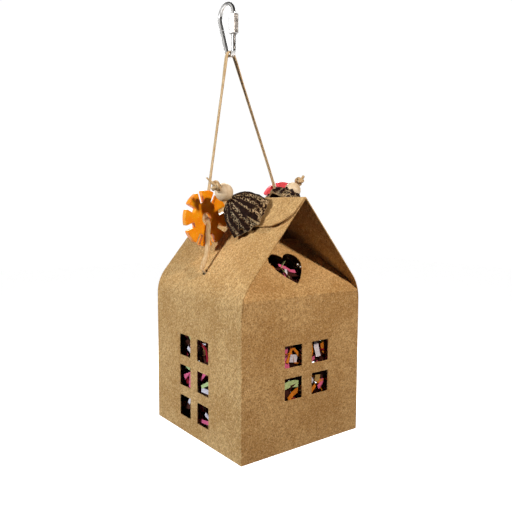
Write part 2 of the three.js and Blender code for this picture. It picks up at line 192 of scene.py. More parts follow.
# ---- the camera ----
def make_camera():
    data = bpy.data.cameras.new("camera")
    data.sensor_width = 36
    data.lens = 39.343
    data.clip_start = 0.01
    camera = loose_object(data)
    camera.location = row((-245.6, -324.4, 158.4))
    heading = Euler((math.radians(90 - 4.806), 0, math.radians(-37.206))).to_matrix()
    roll = Matrix.Rotation(math.radians(0.224), 3, "Z")
    camera.rotation_euler = (heading @ roll).to_euler()
    bpy.context.scene.camera = camera


# ---- node materials ----
def add_node(tree, kind, output, inputs, **settings):
    """A new node's output; each of its inputs is set to a value or linked to another output."""
    node = tree.nodes.new("ShaderNode" + kind)
    for name, value in settings.items():
        setattr(node, name, value)
    for name, value in inputs.items():
        if isinstance(value, bpy.types.NodeSocket):
            tree.links.new(value, node.inputs[name])
        else:
            node.inputs[name].default_value = value
    return node.outputs[output]


class Material:
    """A Principled material with short ways to add procedural nodes."""

    def __init__(self, name, colour, roughness, more=None):
        self.material = bpy.data.materials.new(name)
        self.material.use_nodes = True
        self.tree = self.material.node_tree
        self.sockets = self.tree.nodes["Principled BSDF"].inputs
        settings = {"Base Color": linear(colour), "Roughness": roughness, **(more or {})}
        for socket, value in settings.items():
            self.sockets[socket].default_value = value
        self.place = self.node("TexCoord", "Object", {})

    def node(self, kind, output, inputs, **settings):
        return add_node(self.tree, kind, output, inputs, **settings)

    def noise(self, size, detail=3.0, stretch=(1, 1, 1), roughness=0.5, turn=(0, 0, 0)):
        """Noise whose blotches are about `size` millimetres across, longer along a stretched axis."""
        mapping = {"Vector": self.place, "Scale": stretch, "Rotation": turn}
        at = self.node("Mapping", "Vector", mapping, vector_type="TEXTURE")
        inputs = {"Vector": at, "Scale": 1 / (size * MM), "Detail": detail, "Roughness": roughness}
        return self.node("TexNoise", "Fac", inputs)

    def spots(self, low, high, *noise, **more):
        """Noise spread from 0 at low to 1 at high."""
        return self.ramp(self.noise(*noise, **more), low, high)

    def net(self, size):
        """1 on the strands of an uneven net whose meshes are about `size` millimetres, 0 between."""
        inputs = {"Vector": self.place, "Scale": 1 / (size * MM)}
        edge = self.node("TexVoronoi", "Distance", inputs, feature="DISTANCE_TO_EDGE")
        return self.ramp(edge, 0.17, 0.05)

    def attribute(self, name):
        return self.node("Attribute", "Fac", {}, attribute_name=name)

    def ramp(self, value, low, high):
        """The value spread from 0 at low to 1 at high."""
        inputs = {"Value": value, "From Min": low, "From Max": high}
        return self.node("MapRange", "Result", inputs, interpolation_type="SMOOTHSTEP")

    def scaled(self, value, factor):
        return self.node("Math", 0, {0: value, 1: factor}, operation="MULTIPLY")

    def mix(self, share, first, second):
        """A colour from first at share 0 to second at share 1."""
        first, second = (linear(c) if isinstance(c, tuple) else c for c in (first, second))
        return self.node("Mix", 2, {0: share, 6: first, 7: second}, data_type="RGBA")

    def tinted(self, base, mask, share, tone):
        """The base colour with a share of the tone wherever the mask is 1."""
        return self.mix(self.scaled(mask, share), base, tone)

    def colour(self, output):
        self.tree.links.new(output, self.sockets["Base Color"])

    def roughness(self, value, low, high):
        inputs = {"Value": value, "To Min": low, "To Max": high}
        self.tree.links.new(self.node("MapRange", "Result", inputs), self.sockets["Roughness"])

    def bump(self, value, height, below=None):
        """Bumps `height` millimetres deep, on top of those of another bump's output."""
        inputs = {"Height": value, "Distance": height * MM}
        if below:
            inputs["Normal"] = below
        normal = self.node("Bump", "Normal", inputs)
        self.tree.links.new(normal, self.sockets["Normal"])
        return normal


def linear(colour):
    """An sRGB colour of 0 to 255 as linear RGBA."""
    shares = [c / 255 for c in colour]
    return [s / 12.92 if s <= 0.04045 else ((s + 0.055) / 1.055) ** 2.4 for s in shares] + [1.0]


def darker(colour, share):
    return tuple(int(c * share) for c in colour)


def kraft_material():
    kraft = Material("kraft_card", (190, 150, 98), 0.85, {"Specular IOR Level": 0.12})
    clouds = kraft.spots(0.34, 0.62, 30, roughness=0.6)
    mottle = kraft.spots(0.4, 0.62, 2.2, 3, (2, 1, 1.6), 0.6, (0.7, 0.5, 0.8))
    grain = kraft.spots(0.36, 0.64, 0.9, 1, (1, 1.7, 1), 0.5, (0.8, 0.6, 0.3))
    pale = kraft.spots(0.56, 0.7, 0.8, 1, (3.4, 1, 1), 0.5, (0.4, 0.7, 0.9))
    dark = kraft.spots(0.58, 0.72, 0.8, 1, (1, 1, 3.4), 0.5, (0.7, 0.9, 0.4))
    base = kraft.mix(clouds, (200, 160, 102), (222, 185, 127))
    base = kraft.tinted(base, mottle, 0.42, (168, 126, 72))
    base = kraft.tinted(base, grain, 0.55, (152, 110, 62))
    base = kraft.tinted(base, pale, 0.4, (246, 216, 164))
    kraft.colour(kraft.tinted(base, dark, 0.55, (112, 78, 44)))
    kraft.roughness(grain, 0.78, 0.92)
    kraft.bump(grain, 0.1, kraft.bump(mottle, 0.08))
    return kraft.material


def leather_material():
    leather = Material("lace_leather", (206, 176, 130), 0.75, {"Specular IOR Level": 0.3})
    streaks = leather.spots(0.3, 0.7, 0.9, stretch=(1, 1, 6))
    nap = leather.spots(0.35, 0.65, 0.35, 2)
    base = leather.mix(streaks, (196, 160, 110), (222, 198, 158))
    leather.colour(leather.tinted(base, nap, 0.35, (176, 142, 98)))
    leather.bump(nap, 0.08, leather.bump(streaks, 0.1))
    return leather.material


def wood_material():
    wood = Material("pale_wood", (228, 208, 176), 0.5)
    grain_turn = (0.5, 0.2, 0.4)
    rings = wood.spots(0.3, 0.7, 3.2, 2, stretch=(1, 5, 1), turn=grain_turn)
    pores = wood.spots(0.6, 0.75, 0.5, 2, stretch=(1, 6, 1), turn=grain_turn)
    base = wood.mix(rings, (236, 219, 190), (216, 192, 156))
    wood.colour(wood.tinted(base, pores, 0.4, (186, 154, 114)))
    wood.roughness(rings, 0.42, 0.6)
    wood.bump(pores, 0.05)
    return wood.material


def pod_material():
    """Dark bark under a pale net that shows between the ribs, its strands brightened to near-white cream
    as painted highlights, and pith where it is torn.
    """
    pod = Material("pod_husk", (40, 27, 22), 0.85, {"Specular IOR Level": 0.1})
    net = pod.net(1.5)
    fine = pod.spots(0.35, 0.65, 0.5)
    sparse = pod.spots(0.37, 0.5, 1.3, 2)
    pale_net_and_highlight = pod.attribute("pale_net_and_highlight")
    bark = pod.mix(fine, (16, 9, 8), (56, 34, 26))
    # Painted highlight: the net's strands go from warm brown to near-white cream as the attribute's
    # share rises, brighter than their own colour, standing in for light catching the crumpled case.
    strands = pod.mix(pale_net_and_highlight, (186, 130, 90), (255, 230, 184))
    bark = pod.mix(pod.scaled(pod.scaled(net, sparse), pale_net_and_highlight), bark, strands)
    pith = pod.mix(fine, (240, 218, 172), (196, 156, 106))
    pod.colour(pod.mix(pod.attribute("torn"), bark, pith))
    pod.bump(net, 0.5, pod.bump(fine, 0.25))
    return pod.material


def plastic_material(name, colour, deep):
    depth = {"Subsurface Weight": 0.15, "Subsurface Scale": 2 * MM}
    plastic = Material(name, colour, 0.32, depth)
    flow = plastic.spots(0.3, 0.7, 6, 2)
    scuffs = plastic.spots(0.55, 0.75, 0.9, 4, roughness=0.7)
    plastic.colour(plastic.mix(flow, colour, deep))
    plastic.roughness(scuffs, 0.26, 0.5)
    plastic.bump(flow, 0.04)
    return plastic.material


def nickel_material(name, tone, low, high):
    """Plated metal, its roughness from low to high."""
    nickel = Material(name, tone, 0.12, {"Metallic": 1.0})
    wear = nickel.spots(0.35, 0.7, 2.5, 4, roughness=0.6)
    drawn = nickel.spots(0.4, 0.7, 0.25, 2, stretch=(1, 1, 12))
    nickel.colour(nickel.mix(wear, tone, darker(tone, 0.86)))
    nickel.roughness(wear, low, high)
    nickel.bump(drawn, 0.006)
    return nickel.material


def paper_material(name, colour):
    paper = Material(name, colour, 0.7, {"Specular IOR Level": 0.1})
    pulp = paper.spots(0.3, 0.7, 0.7)
    paper.colour(paper.mix(pulp, colour, darker(colour, 0.82)))
    paper.bump(pulp, 0.03)
    return paper.material


# ---- pieces ----
def new_mesh(name, points, faces):
    mesh = bpy.data.meshes.new(name)
    mesh.from_pydata([tuple(p) for p in points], [], faces)
    mesh.validate()
    return mesh


def loose_object(data):
    """An object of a mesh, a light or a camera, with its name."""
    made = bpy.data.objects.new(data.name, data)
    bpy.context.scene.collection.objects.link(made)
    return made


def closed(name, points, faces):
    """An object of a closed mesh, with every face turned outwards."""
    mesh = new_mesh(name, points, faces)
    work = bmesh.new()
    work.from_mesh(mesh)
    bmesh.ops.recalc_face_normals(work, faces=work.faces)
    work.to_mesh(mesh)
    work.free()
    return loose_object(mesh)


def ring_faces(rings, count, around=False):
    """Quads between neighbouring rings of count points; around joins the last to the first."""
    faces = []
    for i in range(rings if around else rings - 1):
        here, following = i * count, (i + 1) % rings * count
        for k in range(count):
            nxt = (k + 1) % count
            faces.append((here + k, here + nxt, following + nxt, following + k))
    return faces


def tube_faces(rings, count):
    """Quads between rings of count points, and a cap over each end."""
    last = (rings - 1) * count
    caps = [tuple(range(count))[::-1], tuple(range(last, last + count))]
    return ring_faces(rings, count) + caps


def applied(piece):
    """The piece with its modifiers turned into mesh."""
    graph = bpy.context.evaluated_depsgraph_get()
    mesh = bpy.data.meshes.new_from_object(piece.evaluated_get(graph), depsgraph=graph)
    piece.modifiers.clear()
    piece.data = mesh
    return piece


def modified(piece, kind, **settings):
    """The piece with one more modifier."""
    modifier = piece.modifiers.new(kind.lower(), kind)
    for name, value in settings.items():
        setattr(modifier, name, value)
    return piece


def bevel(piece, width, segments=2, angle=50):
    limit = {"limit_method": "ANGLE", "angle_limit": math.radians(angle)}
    return modified(piece, "BEVEL", width=width, segments=segments, **limit)


def settle(piece, body, material, replaced=(), flat=False):
    """Puts a piece that was made in house millimetres into the frame, on its body."""
    piece.data.transform(Matrix.Translation(ORIGIN) @ Matrix.Scale(MM, 4))
    piece.data.materials.clear()
    piece.data.materials.append(material)
    if not flat:
        piece.data.shade_smooth()
        modified(piece, "WEIGHTED_NORMAL", keep_sharp=True, weight=90)
    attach(piece, body)
    if replaced:
        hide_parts(*replaced)
    return piece


def sweep(name, path, section, wide):
    """A capped tube: section(share, point) gives each ring's points, a along wide(point)."""
    points = []
    for index, here in enumerate(path):
        before = path[max(index - 1, 0)]
        after = path[min(index + 1, len(path) - 1)]
        tangent = (after - before).normalized()
        side = wide(here)
        side = (side - tangent * side.dot(tangent)).normalized()
        up = tangent.cross(side)
        ring = section(index / (len(path) - 1), here)
        points += [here + side * a + up * b for a, b in ring]
    return closed(name, points, tube_faces(len(path), len(ring)))


def polar(radius, turn):
    return Vector((radius * math.cos(turn), radius * math.sin(turn)))


def circle(radius, count):
    return [polar(radius, 2 * math.pi * k / count) for k in range(count)]


def oval(half_width, half_thick, count=16, power=0.75):
    """A section between an ellipse and a rounded strip."""
    return [
        (
            math.copysign(abs(a) ** power, a) * half_width,
            math.copysign(abs(b) ** power, b) * half_thick,
        )
        for a, b in circle(1, count)
    ]


def quadratic(start, corner, end, steps):
    """Points of a curve that leaves start towards the corner and comes to end from it."""
    shares = [k / steps for k in range(steps + 1)]
    return [(1 - t) ** 2 * start + 2 * t * (1 - t) * corner + t * t * end for t in shares]


def catmull(points, steps=6):
    """A centripetal Catmull-Rom curve through points."""
    line = [Vector(p) for p in points]
    line = [2 * line[0] - line[1], *line, 2 * line[-1] - line[-2]]
    curve = []
    for p0, p1, p2, p3 in zip(line, line[1:], line[2:], line[3:]):
        d0, d1, d2 = ((b - a).length ** 0.5 for a, b in ((p0, p1), (p1, p2), (p2, p3)))
        t1 = ((p1 - p0) / d0 - (p2 - p0) / (d0 + d1) + (p2 - p1) / d1) * d1
        t2 = ((p2 - p1) / d1 - (p3 - p1) / (d1 + d2) + (p3 - p2) / d2) * d1
        for k in range(steps):
            t = k / steps
            ends = (2 * t**3 - 3 * t**2 + 1) * p1 + (3 * t**2 - 2 * t**3) * p2
            curve.append(ends + (t**3 - 2 * t**2 + t) * t1 + (t**3 - t**2) * t2)
    return [*curve, line[-2]]


# ---- places on the house ----
def roof_point(side, s, y, h):
    """The point s down the slope from the ridge and h over it; side is -1 near and +1 far."""
    x = s * math.cos(PITCH) + h * math.sin(PITCH)
    z = RIDGE_HEIGHT - s * math.sin(PITCH) + h * math.cos(PITCH)
    return Vector((side * x, y, z))


def roof_normal(side):
    return Vector((side * math.sin(PITCH), 0, math.cos(PITCH)))


def height_over_roof(side, point):
    return (point - roof_point(side, 0, 0, 0)).dot(roof_normal(side))


def spinner(name):
    """A spinning piece's middle and axis."""
    joint = JOINTS[name + "_spin"]
    return house(joint["pos_m"]), Vector(joint["axis"]).normalized()


def knot_place(prefix):
    return spinner(prefix + "_bead")[0] + KNOT_AWAY[prefix] * KNOT_REACH


# ---- the lace ----
def stack_route(prefix):
    """The lace from its knot down through the bead and the seed case."""
    base, axis = spinner(prefix + "_cup")
    bead, bead_axis = spinner(prefix + "_bead")
    return [
        knot_place(prefix).lerp(bead, 0.43),
        bead + bead_axis * 4.7,
        bead,
        bead - axis.lerp(bead_axis, 0.5) * 5.4,
        base + axis * CUP_LENGTH * 0.6,
        base + axis * 2,
    ]


def route_under_roof(side, upper):
    """The lace down behind the roof, from an upper hole to the lower one and out of it."""
    upper_s, upper_y = upper
    lower_s, lower_y = LOWER_HOLE
    stops = [
        (upper_s, upper_y, -0.3),
        (upper_s + 1.7, upper_y + 0.4, -3.6),
        (28, 0.82 * upper_y, -5.4),
        (40, 0.55 * upper_y, -5.8),
        (54, 0.22 * upper_y, -5.6),
        (lower_s - 3, lower_y - 0.4, -4.4),
        (lower_s - 0.4, lower_y, -2),
        (lower_s, lower_y, 0.6),
        (lower_s - 1, lower_y, 3.4),
    ]
    return [roof_point(side, *stop) for stop in stops]


def between(start, end, count):
    """Evenly spaced points, without the ends."""
    return [start.lerp(end, (k + 1) / (count + 1)) for k in range(count)]


def over_link(near_lean, far_lean):
    """The lace's bend round the link's lower wire."""
    bend = LACE_RADIUS + WIRE + GAP
    start, end = math.pi - near_lean, far_lean
    middle = Vector((LINK_X, LINK_SMALL["y"], LINK_SMALL["z"] - LINK_SMALL["r"]))
    points = []
    for k in range(BEND_STEPS + 1):
        across, up = polar(bend, start + (end - start) * k / BEND_STEPS)
        points.append(middle + Vector((across, 0, up)))
    return points


def lace_route():
    """The whole lace: near knot, under the roof, up to the link, and down to the far knot."""
    near_rise = [Vector(p) for p in NEAR_RISE]
    far_fall = [Vector(p) for p in FAR_FALL]
    near_lean, far_lean = (
        math.atan(abs(end.x - LINK_X) / (LINK_SMALL["z"] - end.z))
        for end in (near_rise[-1], far_fall[0])
    )
    turn = over_link(near_lean, far_lean)
    return [
        *stack_route("near"),
        *route_under_roof(-1, NEAR_UPPER_HOLE),
        *near_rise,
        *between(near_rise[-1], turn[0], 4),
        *turn,
        *between(turn[-1], far_fall[0], 4),
        *far_fall,
        *route_under_roof(1, FAR_UPPER_HOLE)[::-1],
        *stack_route("far")[::-1],
    ]


def lace_wide(point):
    """The strip's broad way: along the link's wire, and facing forward where it crosses the disc."""
    out = smooth((height_over_roof(-1, point) - 1) / 4) if point.x < 0 else 0
    front = out * smooth((156 - point.z) / 5)
    strand = smooth((point.z - 165) / 20) * smooth((262 - point.z) / 20)
    return Vector((0.85 * front + 0.3 * strand, 1 - 1.6 * front, 0)).normalized()


def make_lace(material):
    """The lace, with its centreline in the frame and its length in metres."""
    path = catmull(lace_route())
    ring = oval(LACE_WIDTH / 2, LACE_THICK / 2)

    def section(share, point):
        swell = 1 + 0.05 * noise.noise(point * 0.35)
        return [(a * swell, b * swell) for a, b in ring]

    lace = sweep("lace", path, section, lace_wide)
    settle(lace, "house", material, ["leather_lace"])
    centres = [row(p) for p in path]
    length = sum((b - a).length for a, b in zip(centres, centres[1:]))
    return lace, centres, length


def make_knot(prefix, tail, tip, material):
    """An overhand knot drawn tight, its tail pulled out to a tip that keeps a share of the width."""
    centre = knot_place(prefix)
    turn = turned_to(KNOT_AWAY[prefix])
    loop = []
    for k in range(KNOT_STEPS + 1):
        t = KNOT_START + KNOT_SWEEP * k / KNOT_STEPS
        local = Vector((
            math.sin(t) + 2 * math.sin(2 * t),
            math.cos(t) - 2 * math.cos(2 * t),
            -KNOT_RISE * math.sin(3 * t),
        ))
        loop.append(centre + turn @ (local * KNOT_SCALE))
    start, end = loop[-1], centre + Vector(tail)
    leaving = (loop[-1] - loop[-3]).normalized()
    tail_points = [start, start + leaving * 1.2, start.lerp(end, 0.5) + leaving * 0.6, end]
    path = loop + catmull(tail_points)[1:]

    def section(share, point):
        taper = 1 - (1 - tip) * smooth((share - 0.86) / 0.14)
        return oval(KNOT_WIDTH / 2 * taper, KNOT_THICK / 2 * (0.5 + 0.5 * taper), 12)

    knot = sweep(prefix + "_lace_knot", path, section, lambda point: turn @ Vector((0.3, 0.2, 1)))
    return settle(knot, "house", material, [prefix + "_knot"])


# ---- the card ----
class FoldedLine:
    """Straight stretches and round bends through corners, followed by arc length from the foot."""

    def __init__(self, corners, radii):
        self.spans = []  # each one's start, way, length, and the radius and turn of a bend
        at = Vector(corners[0])
        for index, radius in enumerate(radii):
            corner, following = Vector(corners[index + 1]), Vector(corners[index + 2])
            into, out = (corner - at).normalized(), (following - corner).normalized()
            turn = -into.angle_signed(out)
            cut = radius * math.tan(turn / 2)
            self.spans.append((at, into, (corner - at).length - cut, 0, 0))
            self.spans.append((corner - into * cut, into, radius * turn, radius, turn))
            at = corner + out * cut
        last = Vector(corners[-1]) - at
        self.spans.append((at, last.normalized(), last.length, 0, 0))
        self.marks = [0]
        for span in self.spans:
            self.marks.append(self.marks[-1] + span[2])

    def at(self, v):
        """The point and the outward normal at an arc length."""
        index = 0
        while index < len(self.spans) - 1 and v > self.spans[index][2]:
            v -= self.spans[index][2]
            index += 1
        start, way, _, radius, _ = self.spans[index]
        out = Vector((way.y, -way.x))
        if not radius:
            return start + way * v, out
        angle = v / radius
        normal = out * math.cos(angle) + way * math.sin(angle)
        return start - out * radius + normal * radius, normal

    def stations(self, step, extra):
        """Arc lengths no further apart than step, closer in the bends, with the extra ones."""
        marks = set(extra)
        for mark, (_, _, length, _, turn) in zip(self.marks, self.spans):
            parts = max(1, math.ceil(turn / math.radians(5) if turn else length / step))
            marks.update(mark + length * k / parts for k in range(parts + 1))
        return thinned(sorted(marks))


def thinned(marks, apart=lambda a, b: b - a):
    """The marks without those that all but fall on the one before."""
    kept = [marks[0]]
    for mark in marks[1:]:
        if apart(kept[-1], mark) > 0.05:
            kept.append(mark)
    return kept


def sheet_half(z, depth):
    """Half the distance between the side sheets at a height, at a depth under their outside."""
    half = WIDTH / 2
    turn = math.pi / 2 - PITCH
    corner_z = RIDGE_HEIGHT - half * math.tan(PITCH)
    centre_z = corner_z - EAVE_RADIUS * math.tan(turn / 2)
    radius = EAVE_RADIUS - depth
    if z <= centre_z:
        return half - depth
    if z < centre_z + radius * math.sin(turn):
        return half - EAVE_RADIUS + math.sqrt(radius**2 - (z - centre_z) ** 2)
    return (RIDGE_HEIGHT - depth / math.cos(PITCH) - z) / math.tan(PITCH)


def pane_boxes(window):
    """(low u, low v, high u, high v) of each pane."""
    width, height = window["pane"]
    rows, row_gap = window["rows"], window["row_gap"]
    foot = window["level"] - (rows * height + (rows - 1) * row_gap) / 2
    boxes = []
    for left in (window["middle"] - PANE_GAP / 2 - width, window["middle"] + PANE_GAP / 2):
        for index in range(rows):
            low = foot + index * (height + row_gap)
            boxes.append((left, low, left + width, low + height))
    return boxes


def card_sheet(name, line, columns, place, window, spread, lift=None, extra=()):
    """A folded sheet: columns run across it, stations along the line, the panes are left open.

    place(u, point) puts a column and a point of the line into the house, and spread(u, v) moves a
    column in to follow the sheet's outline.
    """
    panes = pane_boxes(window)
    rows = line.stations(CARD_GRID, [*extra, *(edge for box in panes for edge in (box[1], box[3]))])
    columns = thinned(sorted({*columns, *(edge for box in panes for edge in (box[0], box[2]))}))
    points = []
    for v in rows:
        at, normal = line.at(v)
        for u in columns:
            wide = spread(u, v)
            raised = lift(wide, v) if lift else 0
            wave = noise.noise(Vector((wide * CARD_WAVES_PER_MM, v * CARD_WAVES_PER_MM, len(name))))
            points.append(place(wide, at + normal * (raised + CARD_WAVE * wave)))
    faces = []
    for i, (low, high) in enumerate(zip(rows, rows[1:])):
        for j, (left, right) in enumerate(zip(columns, columns[1:])):
            u, v = (left + right) / 2, (low + high) / 2
            if any(box[0] < u < box[2] and box[1] < v < box[3] for box in panes):
                continue
            corner = i * len(columns) + j
            faces.append((corner, corner + 1, corner + len(columns) + 1, corner + len(columns)))
    piece = loose_object(new_mesh(name, points, faces))
    at, normal = line.at(rows[1])
    outward = place(0, at + normal) - place(0, at)
    if piece.data.polygons[0].normal.dot(outward) < 0:
        piece.data.flip_normals()
    return applied(modified(piece, "SOLIDIFY", thickness=CARD, offset=-1, use_even_offset=True))


def cut(piece, cutter):
    """Takes the cutter's shape out of the piece."""
    applied(modified(piece, "BOOLEAN", object=cutter, solver="EXACT"))
    bpy.data.objects.remove(cutter)


def prism(outline, place, low, high):
    """A closed prism over an outline, from depth low to depth high; place(u, v, w) puts it."""
    points = [place(u, v, w) for w in (low, high) for u, v in outline]
    return closed("cutter", points, tube_faces(2, len(outline)))


def cut_lace_holes(piece, side, holes):
    """Cuts holes given by their distance down the slope and their y."""
    for s, y in holes:
        middle = roof_point(side, s, y, 0)
        down = roof_point(side, s + 1, y, 0) - middle
        normal = roof_normal(side)
        along = Vector((0, 1, 0))
        place = lambda u, v, w: middle + down * u + along * v + normal * w
        cut(piece, prism(circle(LACE_HOLE, 32), place, -3, 4))


def sheet_line(with_flap):
    """A side sheet's outside from the floor to the ridge, or on over it to the flap's end."""
    half = WIDTH / 2
    eave = (half, RIDGE_HEIGHT - half * math.tan(PITCH))
    if not with_flap:
        top = (GAP / 2, RIDGE_HEIGHT - GAP / 2 * math.tan(PITCH))
        return FoldedLine([(half, 0), eave, top], [EAVE_RADIUS])
    lift = CARD + GAP
    fold_x = -lift / math.cos(PITCH) / math.tan(PITCH) / 2
    fold = (fold_x, RIDGE_HEIGHT - fold_x * math.tan(PITCH))
    end = roof_point(-1, FLAP_LENGTH, 0, lift)
    return FoldedLine([(half, 0), eave, fold, (end.x, end.z)], [EAVE_RADIUS, RIDGE_RADIUS])


def near_place(u, at):
    """Puts a column and a point of a folded line into the near side."""
    return Vector((-at.x, u, at.y))


def even_columns(width, count):
    return [width * (k / count - 0.5) for k in range(count + 1)]


def near_sheet(material):
    line = sheet_line(False)
    columns = even_columns(DEPTH, 12)
    piece = card_sheet("near_side_card", line, columns, near_place, SIDE_WINDOW, lambda u, v: u)
    cut_lace_holes(piece, -1, (NEAR_UPPER_HOLE, LOWER_HOLE))
    applied(bevel(piece, 0.26, 3))
    return settle(piece, "house", material, ["near_wall_and_roof"])


def far_sheet(material):
    """The far side with the flap past the ridge, its corners rounded and its ends sprung up."""
    line = sheet_line(True)
    flap_start, flap_end = line.marks[4:6]

    def spread(u, v):
        past = FLAP_CORNER - (flap_end - v)
        if past <= 0:
            return u
        half = DEPTH / 2 - FLAP_CORNER + math.sqrt(max(0, FLAP_CORNER**2 - past**2))
        return u * half / (DEPTH / 2)

    def lift(u, v):
        if v < flap_start:
            return 0
        share = (v - flap_start) / (flap_end - flap_start)
        front, rear = (smooth((way * u - 16) / 36) for way in (-1, 1))
        return (0.2 + FRONT_LIFT * front + REAR_LIFT * rear) * share**1.6

    piece = card_sheet(
        "far_side_card_and_ridge_flap",
        line,
        even_columns(DEPTH, 24),
        lambda u, at: Vector((at.x, u, at.y)),
        SIDE_WINDOW,
        spread,
        lift,
        [flap_end - FLAP_CORNER * (1 - math.sin(math.pi / 2 * k / 12)) for k in range(13)],
    )
    cut_lace_holes(piece, 1, (FAR_UPPER_HOLE, LOWER_HOLE))
    cut_lace_holes(piece, -1, (NEAR_UPPER_HOLE,))
    applied(bevel(piece, 0.2, 3))
    return settle(piece, "house", material, ["far_wall_and_roof", "ridge_flap"])


def heart_outline():
    """Points round the heart, x across and v up the gusset from its crease."""
    meet = math.acos(HEART_LOBE_OFFSET / HEART_LOBE)
    lobe = Vector((HEART_LOBE_OFFSET, HEART_LOBE_AT))
    low = -0.35
    tip, side = Vector((0, HEART_TIP)), lobe + polar(HEART_LOBE, low)
    bow = Vector((side.x - 2.6, HEART_TIP + 8.6))
    right = quadratic(tip, bow, side, 12)[:-1]
    right += [lobe + polar(HEART_LOBE, low + (math.pi - meet - low) * k / 24) for k in range(25)]
    left = [Vector((-p.x, p.y)) for p in right[1:-1]][::-1]
    return right + left


def gable_line():
    """A gable's outside from the floor to the crease, and up the gusset that leans in."""
    half = DEPTH / 2
    top_y = half - GUSSET_LENGTH * math.cos(GUSSET_PITCH)
    top_z = WALL_HEIGHT + GUSSET_LENGTH * math.sin(GUSSET_PITCH)
    return FoldedLine([(half, 0), (half, WALL_HEIGHT), (top_y, top_z)], [CREASE_RADIUS])


def gable_and_gusset(end, material):
    """end is -1 for the front and +1 for the rear."""
    name = "front" if end < 0 else "rear"
    up, inwards = math.sin(GUSSET_PITCH), math.cos(GUSSET_PITCH)
    line = gable_line()
    inner = max(box[2] for box in pane_boxes(GABLE_WINDOW)) + 0.5
    columns = [-inner, inner, *(u for u in even_columns(WIDTH, 12) if abs(u) > inner)]

    def spread(u, v):
        """Columns inside the panes' outline stay straight; the others follow the sides and roof."""
        z = line.at(v)[0].y
        overlap = -0.1 if z < WALL_HEIGHT - 2 else 0.15
        edge = sheet_half(z, CARD + overlap)
        if abs(u) <= inner:
            return max(-edge, min(edge, u))
        share = (abs(u) - inner) / (WIDTH / 2 - inner)
        return math.copysign(inner + (edge - inner) * share, u)

    place = lambda u, at: Vector((u, end * at.x, at.y))
    piece = card_sheet(name + "_gable_card", line, columns, place, GABLE_WINDOW, spread)
    foot = Vector((0, end * DEPTH / 2, WALL_HEIGHT))
    rise = Vector((0, -end * inwards, up))
    out = Vector((0, end * up, inwards))
    place = lambda u, v, w: foot + Vector((u, 0, 0)) + rise * v + out * w
    cut(piece, prism(heart_outline(), place, -4, 4))
    applied(bevel(piece, 0.14))
    return settle(piece, "house", material, [name + "_gable", name + "_gusset"])


# ---- turned and moulded pieces ----
def turned(name, profile, count, place, shape=None):
    """A closed turned piece; profile is a closed loop of (radius, height), place(x, y, z) puts it."""
    points = []
    for k in range(count):
        turn = 2 * math.pi * k / count
        for index, (radius, height) in enumerate(profile):
            if shape:
                radius, height = shape(turn, index, radius, height)
            points.append(place(*polar(radius, turn), height))
    return closed(name, points, ring_faces(count, len(profile), around=True))


def turned_to(axis):
    """The turn that takes +Z to an axis."""
    return Vector((0, 0, 1)).rotation_difference(axis).to_matrix()


def placing(origin, axis):
    turn = turned_to(axis)
    return lambda x, y, z: origin + turn @ Vector((x, y, z))


def make_bead(prefix, material):
    """A turned round bead, its bore eased at both mouths."""
    bead, axis = spinner(prefix + "_bead")
    reach = math.asin((BEAD_BORE + 0.5) / BEAD_RADIUS)
    steps = 26
    outside = []
    for k in range(steps + 1):
        down, across = polar(BEAD_RADIUS, reach + (math.pi - 2 * reach) * k / steps)
        outside.append((across, -down))
    top = outside[-1][1]
    bore = [(BEAD_BORE + 0.15, top - 0.15), (BEAD_BORE, top - 0.7), (BEAD_BORE, 0)]
    bore += [(r, -z) for r, z in bore[-2::-1]]
    piece = turned(prefix + "_wood_bead", outside + bore, 48, placing(bead, axis))
    return settle(piece, prefix + "_bead", material, [prefix + "_bead"])


def cup_radius(share):
    """The pod's outside, as a share of its radius, at a share of its length."""
    for (r0, z0), (r1, z1) in zip(CUP_SHAPE, CUP_SHAPE[1:]):
        if share <= z1:
            t = (share - z0) / (z1 - z0)
            return r0 + (r1 - r0) * t
    return CUP_SHAPE[-1][0]


